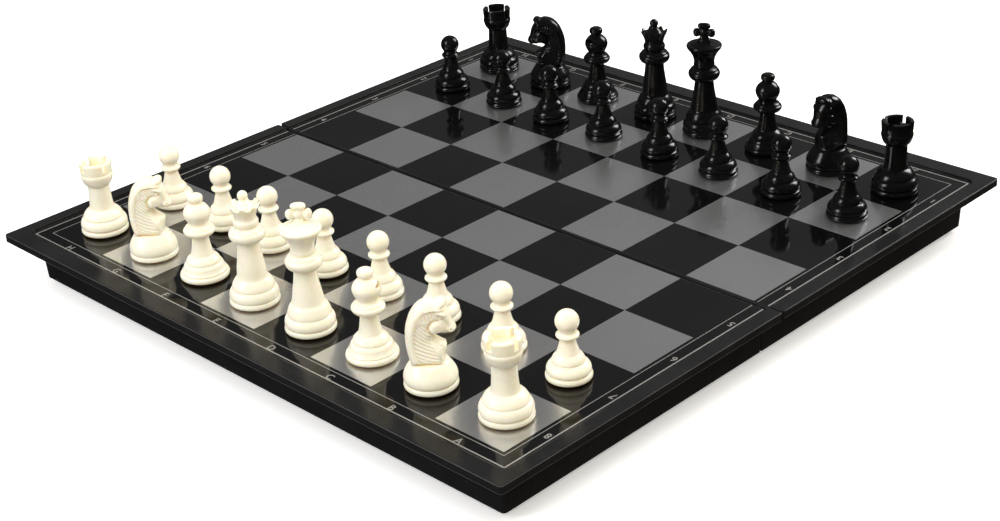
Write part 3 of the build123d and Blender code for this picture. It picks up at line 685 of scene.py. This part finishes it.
def build_king():
    """Turned body with a rounded cross set diagonally on top."""
    half_thickness, edge_radius = 1.95, 1.9
    centre_z = 50.9
    groove_radius, groove_width, groove_share = 1.9, 0.8, 0.30      # ring round the centre
    king = temp_object("m_king", *lathe(KING))
    grid = relief_grid(outline_curve(CROSS, 3), step=0.16)
    from_centre = np.hypot(grid["x"], grid["z"] - centre_z)
    height = half_thickness * rounded(grid["depth"], edge_radius) \
        * (1 - groove_share * bell(from_centre - groove_radius, groove_width))
    cross = relief_object("cross", grid, height)
    cross.data.transform(Matrix.Rotation(math.radians(45), 4, "Z"))
    boolean(king, cross, "UNION")
    return king


# ------------------------------------------------------------------ the knight's head
# All lines are x, z; the horse faces +X.
# side outline of the head and neck
HORSE = [
    (-6.8, 10.2), (-7.3, 11.6), (-7.9, 14.0), (-8.35, 17.0), (-8.5, 20.0), (-8.4, 23.0),
    (-8.0, 26.0), (-7.1, 29.0), (-5.9, 31.9), (-4.1, 34.3), (-2.0, 36.0), (0.2, 36.8),
    (2.2, 36.9), (3.5, 36.5), (4.6, 37.0), (5.8, 37.2), (7.0, 36.8), (7.6, 35.9),
    (7.6, 34.9), (7.2, 34.0), (7.8, 33.0), (8.6, 31.4), (9.1, 29.8), (9.5, 27.9),
    (10.4, 26.2), (10.8, 24.9), (10.6, 23.9), (9.8, 23.1), (8.7, 22.8), (7.6, 22.9),
    (6.4, 22.7), (5.4, 23.0), (4.2, 23.1), (3.0, 22.7), (2.3, 22.0), (2.6, 21.2),
    (3.8, 20.2), (5.3, 19.3), (6.5, 18.6), (6.9, 17.8), (6.7, 16.0), (6.3, 14.0),
    (6.2, 12.2), (6.6, 10.2)]
# where the smooth band along the back of the neck meets the mane, from the base to the forelock
CREST = [
    (-3.2, 10.6), (-4.3, 13.0), (-5.1, 16.0), (-5.5, 19.5), (-5.3, 23.0), (-4.7, 26.2),
    (-3.6, 29.2), (-2.0, 31.6), (0.2, 33.2), (2.6, 33.7), (5.0, 33.6), (6.6, 33.4)]
# front edge of the mane, from the cheek down the neck to the chest
CHEST = [(1.6, 25.0), (1.0, 22.0), (1.6, 19.0), (2.8, 16.4), (4.4, 13.6), (5.6, 11.6)]
CHEST_GROOVE = [(5.7, 11.6), (5.4, 14.5), (5.2, 18.0)]
JAW_LINE = [(1.2, 24.4), (2.6, 23.2), (4.6, 23.4)]


class Carving:
    """Height field of the horse, changed in layers. Limits are x or z positions in mm."""

    def __init__(self, grid):
        self.x, self.z, self.depth = grid["x"], grid["z"], grid["depth"]
        self.skin = rise(self.depth, 0.2, 1.3)      # keeps the carving off the outline
        neck, crown, chest = (np.array(p) for p in (CREST[:9], CREST[6:], CHEST[::-1]))
        self.from_crest = self.x - np.interp(self.z, neck[:, 1], neck[:, 0])
        self.from_chest = self.x - np.interp(self.z, chest[:, 1], chest[:, 0])
        self.over_crown = self.z - np.interp(self.x, crown[:, 0], crown[:, 1])
        self.height = self.body()

    def body(self):
        """Broad at the foot of the neck, slimmer at the head and muzzle."""
        x, z = self.x, self.z
        head = rise(x, -0.5, 2.5) * rise(z, 20.6, 22.6)
        muzzle = rise(x + (29 - z) * 0.45, 3.5, 10.0) * rise(z, 20.6, 22.6)
        thickness = 5.9 - 1.1 * rise(z, 10, 22) - 0.3 * rise(z, 22, 34)
        thickness = thickness * (1 - head) + 4.3 * head - 1.15 * muzzle \
            - 0.6 * rise(z, 33.5, 37.0)
        return thickness * rounded(self.depth, 3.2 - 0.9 * head)

    def add(self, amount, *masks):
        """Raises the surface by amount mm where the masks are 1; a negative amount sinks it."""
        change = self.skin * amount
        for mask in masks:
            change = change * mask
        self.height += change

    def oval(self, centre, size, turn, sharpness=1.5):
        """Soft oval mask; turn is in degrees."""
        c, s = math.cos(math.radians(turn)), math.sin(math.radians(turn))
        dx, dz = self.x - centre[0], self.z - centre[1]
        u = (dx * c + dz * s) / size[0]
        v = (-dx * s + dz * c) / size[1]
        return np.exp(-(u * u + v * v) ** sharpness)

    def distance_to(self, points):
        curve = outline_curve(points, 8)[:8 * (len(points) - 1) + 1]
        here = np.stack([self.x.ravel(), self.z.ravel()], 1)
        return segment_distance(here, curve[:-1], curve[1:])[0].reshape(self.x.shape)


def carve_neck(c):
    x, z, u = c.x, c.z, c.from_crest
    # mane: sunk panel with long strands running down and forward
    mane = rise(u, 0.0, 0.7) * fall(c.from_chest, -0.2, 0.9) \
        * rise(z, 10.8, 11.8) * fall(z - 0.1 * x, 27.2, 29.6)
    pitch = 1.72
    flow = z + (0.50 + 0.034 * (z - 10.0)) * u - 0.022 * u * u + 0.22 * np.sin(0.45 * z + 0.5 * u)
    strand = np.abs(np.sin(np.pi * flow / pitch)) ** 0.75
    fine = 0.5 + 0.5 * np.cos(2 * np.pi * flow / (pitch / 2))
    c.add(-1, mane, 0.62 - 0.36 * strand - 0.08 * fine)
    # smooth roll of the crest band
    c.add(0.35, bell(u + 1.5, width=1.3), rise(z, 11, 13), fall(z, 30, 33))
    # chest plate: ridge along its back edge, sunk facet and a groove near its front
    c.add(0.45, bell(c.distance_to(CHEST), width=0.42), z < 23.0, 1 - mane)
    c.add(-1.2, rise(c.from_chest, 0.6, 4.0), fall(z, 19.2, 20.6), rise(z, 11.0, 13.5))
    c.add(-0.3, bell(c.distance_to(CHEST_GROOVE), width=0.28))


def carve_head(c):
    x, z = c.x, c.z
    # cheek disc and the deep hollow round its back and top
    c.add(0.75, c.oval(centre=(4.0, 25.9), size=(2.9, 2.7), turn=10, sharpness=2.2))
    ring = np.abs(np.hypot((x - 4.0) / 1.05, (z - 25.9)) - 3.25)
    c.add(-1.0, bell(ring, width=0.5), x < 4.6, rise(z, 22.4, 23.4))
    # strands of the forelock, falling from the poll to the hollow
    lean = z - 30
    lock = np.abs(np.sin(np.pi * (x * 0.92 + 0.28 * lean) / 1.25)) ** 0.8
    forelock = rise(z, 28.4, 29.4) * fall(c.over_crown, -0.9, 0.2) \
        * rise(x, -2.4, -1.2) * fall(x + 0.15 * lean, 3.4, 4.6)
    c.add(-1, forelock, 0.50 - 0.36 * lock)
    # eye socket, eye and brow
    c.add(-1.15, c.oval(centre=(5.6, 30.2), size=(1.5, 1.0), turn=-38))
    c.add(0.95, c.oval(centre=(5.55, 30.1), size=(0.72, 0.55), turn=-38))
    c.add(0.65, c.oval(centre=(5.9, 31.9), size=(1.8, 0.55), turn=-30))
    # ridge over the crown of the head, with a groove below it
    crown = c.distance_to(CREST[8:])
    c.add(0.30, bell(crown, width=0.40))
    c.add(-0.35, bell(crown - 0.75, width=0.35), c.over_crown < 0)
    # long cheek hollow, then the swelling of the nostril and its hole
    c.add(-0.55, c.oval(centre=(7.3, 27.6), size=(0.6, 2.1), turn=22))
    c.add(0.55, c.oval(centre=(8.7, 25.0), size=(1.1, 1.0), turn=-30))
    c.add(-0.9, c.oval(centre=(8.95, 25.1), size=(0.45, 0.36), turn=-30))
    # line of the mouth and the lower lip
    along = x - 7.2
    mouth = np.abs((z - 23.9) - 0.18 * along + 0.02 * along ** 2)
    c.add(-0.65, bell(mouth, width=0.25), rise(x, 5.6, 6.4))
    c.add(0.25, c.oval(centre=(7.4, 23.3), size=(1.8, 0.4), turn=5))
    # jaw line against the throat
    c.add(-0.4, bell(c.distance_to(JAW_LINE), width=0.3))


def build_knight():
    grid = relief_grid(outline_curve(HORSE), step=0.2)
    carving = Carving(grid)
    carve_neck(carving)
    carve_head(carving)
    head = relief_object("m_head", grid, carving.height)
    knight = temp_object("m_knight", *lathe(KNIGHT_BASE, 128))
    boolean(knight, head, "UNION")
    return knight


# ------------------------------------------------------------------ the men on the board
BUILDERS = {"pawn": build_pawn, "rook": build_rook, "bishop": build_bishop,
            "queen": build_queen, "king": build_king, "knight": build_knight}
MESHES = {}
for kind, build in BUILDERS.items():
    draft = build()
    MESHES[kind] = draft.data
    MESHES[kind].transform(Matrix.Scale(MM, 4))
    bpy.data.objects.remove(draft)

BACK_ROW = ["rook_a", "knight_b", "bishop_c", "king", "queen", "bishop_f", "knight_g", "rook_h"]
PAWN_ROW = ["pawn_" + letter for letter in "abcdefgh"]
# army: back row and pawns from file A to H; each man's shift off the middle of its square
# in X and Y, and its turn in degrees
STANDS = {
    "white": (
        [(2.0, 0.0, 0.0), (-0.5, -2.0, 44.0), (1.0, -1.5, 40.0), (0.5, -2.5, 0.0),
         (-0.5, -2.0, 0.0), (-0.5, -1.0, 120.0), (0.5, -2.5, 44.0), (-2.5, -2.0, 0.0)],
        [(0.5, 0.0, 0.0), (1.0, 0.5, 0.0), (-1.0, 1.0, 0.0), (1.0, 0.5, 0.0),
         (2.0, 0.0, 0.0), (0.5, 0.0, 0.0), (2.0, 0.5, 0.0), (0.0, 0.0, 0.0)]),
    "black": (
        [(3.0, -1.5, 5.5), (1.5, 0.0, -96.0), (1.0, 0.5, 40.0), (-0.2, -1.2, -17.0),
         (2.5, 0.5, 9.0), (0.0, 0.0, -95.0), (2.3, -0.2, -136.0), (0.0, 0.0, 0.0)],
        [(1.5, -1.0, 0.0), (0.5, 0.0, 0.0), (0.0, 0.0, 0.0), (0.0, 0.0, 0.0),
         (-0.5, 0.5, 0.0), (0.0, 0.0, 0.0), (1.5, 1.0, 0.0), (0.0, 0.0, 0.0)]),
}
ARMY_LOOKS = {"white": (IVORY, "ivory_plastic"), "black": (EBONY, "black_plastic")}


def file_x(column):
    """Middle of a file; column 0 is file A."""
    return (3.5 - column) * SQUARE


def row_y(side, row):
    """Middle of a row; row 0 is next to the fold."""
    return side * (FOLD_MARGIN + (row + 0.5) * SQUARE)


def place_man(army, title, x, y, turn):
    body = f"{army}_{title}"
    material, slot = ARMY_LOOKS[army]
    mesh = MESHES[title.split("_")[0]].copy()
    mesh.name = body + "_body"
    mesh.transform(Matrix.Translation((x * MM, y * MM, PIECE_Z * MM))
                   @ Matrix.Rotation(math.radians(turn), 4, "Z"))
    set_material(mesh, material)
    smooth_by_angle(mesh, 38)
    obj = add_object(body + "_body", mesh)
    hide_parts(body)
    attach(obj, body)


for army, side in HALVES:
    for column in range(8):
        for titles, stands, row in zip((BACK_ROW, PAWN_ROW), STANDS[army], (3, 2)):
            dx, dy, turn = stands[column]
            place_man(army, titles[column], file_x(column) + dx, row_y(side, row) + dy, turn)


# ------------------------------------------------------------------ printed lines
INNER_LINE, OUTER_LINE = 141.6, 147.0       # centres of the lines from the middle in X
LINES = ((INNER_LINE, 0.30), (OUTER_LINE, 0.62))        # centre and width
INK_BOTTOM = PLAY_Z * MM - 0.00001
INK_TOP = PLAY_Z * MM + 0.00004


def printed_lines(half, side):
    """Two nested U-shaped lines, open towards the fold, as one closed mesh each."""
    verts, faces = [], []
    near = FOLD_MARGIN * MM
    for centre, width in LINES:
        inner, outer = (centre - width / 2) * MM, (centre + width / 2) * MM
        far = (centre + FOLD_MARGIN) * MM
        far_inner, far_outer = far - width / 2 * MM, far + width / 2 * MM
        loop = [(-outer, near), (-outer, far_outer), (outer, far_outer), (outer, near),
                (inner, near), (inner, far_inner), (-inner, far_inner), (-inner, near)]
        n = len(loop)
        low = len(verts)
        high = low + n
        verts += [(x, side * y, z) for z in (INK_BOTTOM, INK_TOP) for x, y in loop]
        for quad in ((0, 1, 6, 7), (1, 2, 5, 6), (2, 3, 4, 5)):
            top, bottom = (quad, quad[::-1])[::side]
            faces.append(tuple(high + i for i in top))
            faces.append(tuple(low + i for i in bottom))
        for i in range(n):
            a, b = (i, (i + 1) % n)[::-side]
            faces.append((low + a, low + b, high + b, high + a))
    obj = mesh_object(half + "_half_printed_lines", verts, faces, INK)
    tidy_mesh(obj.data)
    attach(obj, half + "_half")


for half, side in HALVES:
    printed_lines(half, side)

# ------------------------------------------------------------------ painted highlight lines along the rim
RIM_HALF_WIDTH = 155.9          # in X
RIM_FAR_Y = 159.6
RIM_NEAR_Y = 0.6                # where the rim starts beside the fold
RIM_CORNER = 1.6                # corner radius at the far corners
RIM_END = 1.3                   # corner radius at the fold
RIM_TOP = PLAY_Z + 1.2
RIM_DEPTH = 3.45


def rim_highlight_line(name, side, inset, z, radius, body):
    """Thin light tube that follows the edge of the overhanging rim round three sides of a half, as
    a painted edge highlight.
    """
    half_x, far_y = RIM_HALF_WIDTH - inset, RIM_FAR_Y - inset
    corner, end = RIM_CORNER - inset, RIM_END - inset
    path = []       # x, y and the direction of the outward normal in degrees
    for a in range(60, -1, -12):
        path.append((-half_x + end - end * math.cos(math.radians(a)),
                     RIM_NEAR_Y + inset + end - end * math.sin(math.radians(a)), 180 + a))
    for a in range(0, 91, 15):
        path.append((-half_x + corner - corner * math.cos(math.radians(a)),
                     far_y - corner + corner * math.sin(math.radians(a)), 180 - a))
    path += [(-x, y, 180 - turn) for x, y, turn in reversed(path)]
    n = 8
    verts = []
    for x, y, turn in path:
        normal_x, normal_y = math.cos(math.radians(turn)), math.sin(math.radians(turn))
        for k in range(n):
            a = 2 * math.pi * k / n
            out = radius * math.cos(a)
            verts.append(((x + out * normal_x) * MM, side * (y + out * normal_y) * MM,
                          (z + radius * math.sin(a)) * MM))
    faces = []
    for start in range(0, (len(path) - 1) * n, n):
        for k in range(n):
            j = (k + 1) % n
            faces.append((start + k, start + j, start + n + j, start + n + k))
    faces += [tuple(range(n)), tuple(range(len(verts) - 1, len(verts) - n - 1, -1))]
    obj = mesh_object(name, verts, faces, RIM_HIGHLIGHT, smooth=40)
    tidy_mesh(obj.data)
    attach(obj, body)


# painted highlights: light tubes along the top and lower edges of the overhanging lip
for half, side in HALVES:
    body = half + "_half"
    rim_highlight_line(body + "_rim_top_highlight_line", side, inset=0.15, z=RIM_TOP - 0.15, radius=0.13, body=body)
    rim_highlight_line(body + "_rim_lower_highlight_line", side, inset=0.17, z=RIM_TOP - RIM_DEPTH + 0.17,
             radius=0.14, body=body)

# ------------------------------------------------------------------ printed characters
GLYPH_HEIGHT = 3.5
CAP_SHARE = 0.73                # capital height as a share of the font size
GLYPH_BAND = (INNER_LINE + OUTER_LINE) / 2      # characters sit between the two lines


def glyph(name, character, x, y, turn, body):
    text = bpy.data.curves.new(name, "FONT")
    text.body = character
    text.size = GLYPH_HEIGHT * MM / CAP_SHARE
    text.align_x = "CENTER"
    text.align_y = "CENTER"
    text.extrude = 0.00003
    text.offset = 0.00004
    text.resolution_u = 3
    temp = add_object(name + "_tmp", text)
    mesh = evaluated_mesh(temp)
    bpy.data.objects.remove(temp)
    places = np.array([v.co for v in mesh.vertices])
    low, high = places.min(0), places.max(0)
    mesh.transform(Matrix.Translation((-(low[0] + high[0]) / 2, -(low[1] + high[1]) / 2, 0)))
    mesh.transform(Matrix.Translation((x * MM, y * MM, PLAY_Z * MM + 0.00002))
                   @ Matrix.Rotation(math.radians(turn), 4, "Z"))
    tidy_mesh(mesh, merge=1e-6, outward=False)
    set_material(mesh, INK)
    obj = add_object(name, mesh)
    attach(obj, body)


# the small shifts place the characters slightly off the middle of their band or square
for column, letter in enumerate("ABCDEFGH"):
    x = file_x(column)
    far = GLYPH_BAND + FOLD_MARGIN
    glyph("white_half_letter_" + letter, letter, x, -(far + 0.8), 0, "white_half")
    glyph("black_half_letter_" + letter, letter, x - 2.4, far + 0.3, 180, "black_half")
for rank in range(1, 9):
    if rank <= 4:
        body, y, right_shift = "black_half", row_y(1, 4 - rank), 0.8
    else:
        body, y, right_shift = "white_half", row_y(-1, rank - 5), 0.0
    name = f"{body}_number_{rank}"
    glyph(name + "_right", str(rank), GLYPH_BAND + 0.5, y - right_shift, 180, body)
    glyph(name + "_left", str(rank), -GLYPH_BAND, y, 0, body)


# ------------------------------------------------------------------ floor
def studio_floor():
    n, size, z = 24, 8, -0.0002
    row = n + 1
    verts = [((i / n - 0.5) * size, (j / n - 0.5) * size, z)
             for i in range(row) for j in range(row)]
    faces = [(i * row + j, (i + 1) * row + j, (i + 1) * row + j + 1, i * row + j + 1)
             for i in range(n) for j in range(n)]
    obj = mesh_object("studio_floor", verts, faces, pale_floor("floor_pale"))
    obj.visible_diffuse = False
    obj.visible_glossy = False


# ------------------------------------------------------------------ world
AWAY_AXIS = (-0.718, 0.696, 0.0)        # from the camera towards the board, level
ACROSS_AXIS = (0.696, 0.718, 0.0)       # towards the camera's right
WARM_WHITE = (1.0, 0.99, 0.97)
AMBER = (1.0, 0.90, 0.70)
WHITE = (1, 1, 1)


def studio_world():
    """White to the camera; otherwise bright overhead and dark below the horizon."""
    world = bpy.data.worlds.new("studio")
    scene.world = world
    world.use_nodes = True
    world.node_tree.nodes.clear()
    g = Graph(world.node_tree)
    output = g.node("ShaderNodeOutputWorld")
    ray = g.node("ShaderNodeLightPath").outputs
    white = g.node("ShaderNodeBackground", {"Color": rgba(WHITE), "Strength": 1.0})
    ambient = g.node("ShaderNodeBackground", {"Color": rgba(WARM_WHITE)})
    glossy = g.node("ShaderNodeBackground", {"Color": rgba(WHITE)})
    direction = g.node("ShaderNodeTexCoord").outputs["Generated"]
    up = g.node("ShaderNodeSeparateXYZ", {0: direction}).outputs["Z"]
    smooth = {"interpolation_type": "SMOOTHSTEP"}

    # ambient light, warmer towards the camera's right
    g.feed(ambient.inputs["Strength"], g.remap(up, 0.38, 0.90, start=-0.35, end=0.25, **smooth))
    # reflected sky: stronger overhead, behind the board and to the camera's right
    away = g.dot(direction, AWAY_AXIS)
    rear = g.remap(away, 0.25, 1.0, start=-0.1, end=0.75, **smooth)
    sky = g.remap(up, 0.02, 0.12, start=-0.02, end=0.30, **smooth)
    sky = g.math("MULTIPLY", sky, rear)
    across = g.dot(direction, ACROSS_AXIS)
    lean = g.remap(across, 0.72, 1.75, start=-0.25, end=0.30)
    g.feed(glossy.inputs["Strength"], g.math("MULTIPLY", sky, lean))
    tone = g.tones(g.remap(across, 0.0, 1.0, start=-1.0, end=1.0), WARM_WHITE, AMBER,
                   start=0.25, end=0.85)
    g.feed(ambient.inputs["Color"], tone)

    def switch(factor, off, on):
        inputs = {0: factor, 1: off.outputs[0], 2: on.outputs[0]}
        return g.node("ShaderNodeMixShader", inputs)

    lit = switch(ray["Is Glossy Ray"], ambient, glossy)
    g.feed(output.inputs[0], switch(ray["Is Camera Ray"], lit, white).outputs[0])


# ------------------------------------------------------------------ lights
VIEW_TURN = math.radians(45.89)
RIGHT = Vector((math.cos(VIEW_TURN), math.sin(VIEW_TURN), 0))       # the camera's right
BACK = Vector((math.sin(VIEW_TURN), -math.cos(VIEW_TURN), 0))       # from the board to the camera


def softbox(name, right, back, up, aim_z, size, power):
    """Area light placed along RIGHT, BACK and Z and aimed at a point on the Z axis."""
    light = bpy.data.lights.new(name, "AREA")
    light.shape = "RECTANGLE"
    light.size, light.size_y = size
    light.energy = power
    obj = add_object(name, light)
    place = RIGHT * right + BACK * back + Vector((0, 0, up))
    obj.location = place
    aim = Vector((0, 0, aim_z)) - place
    obj.rotation_euler = aim.to_track_quat("-Z", "Y").to_euler()
    obj.visible_camera = False
    return obj


def studio_lights():
    softbox("key_left", right=-0.95, back=0.43, up=0.60, aim_z=0.02, size=(0.34, 0.62), power=4.8)
    softbox("fill_right", right=0.90, back=-0.48, up=0.67, aim_z=0.02, size=(0.40, 0.55),
            power=7.5)
    top = softbox("top_front", right=0.0, back=0.7, up=1.2, aim_z=0.0, size=(1.0, 0.6), power=6.8)
    top.visible_glossy = False


# ------------------------------------------------------------------ camera
# columns: the camera's right, up and backward axes, then its place in metres
CAMERA_MATRIX = (
    (0.7137453093, -0.2847956728, 0.6398898799, 0.53154605),
    (0.6984888049, 0.3569650891, -0.6202332744, -0.5177746),
    (-0.0517785953, 0.8896445076, 0.4537087470, 0.375376),
    (0, 0, 0, 1))


def studio_camera():
    camera = bpy.data.cameras.new("camera")
    obj = add_object("camera", camera)
    obj.matrix_world = Matrix(CAMERA_MATRIX)
    camera.sensor_width = 36.0
    camera.sensor_fit = "HORIZONTAL"
    camera.lens = 65.963052
    camera.clip_start = 0.05
    camera.clip_end = 20
    scene.camera = obj


studio_floor()
studio_world()
studio_lights()
studio_camera()
scene.view_settings.view_transform = "Standard"
scene.view_settings.look = "None"
scene.view_settings.exposure = 0.0

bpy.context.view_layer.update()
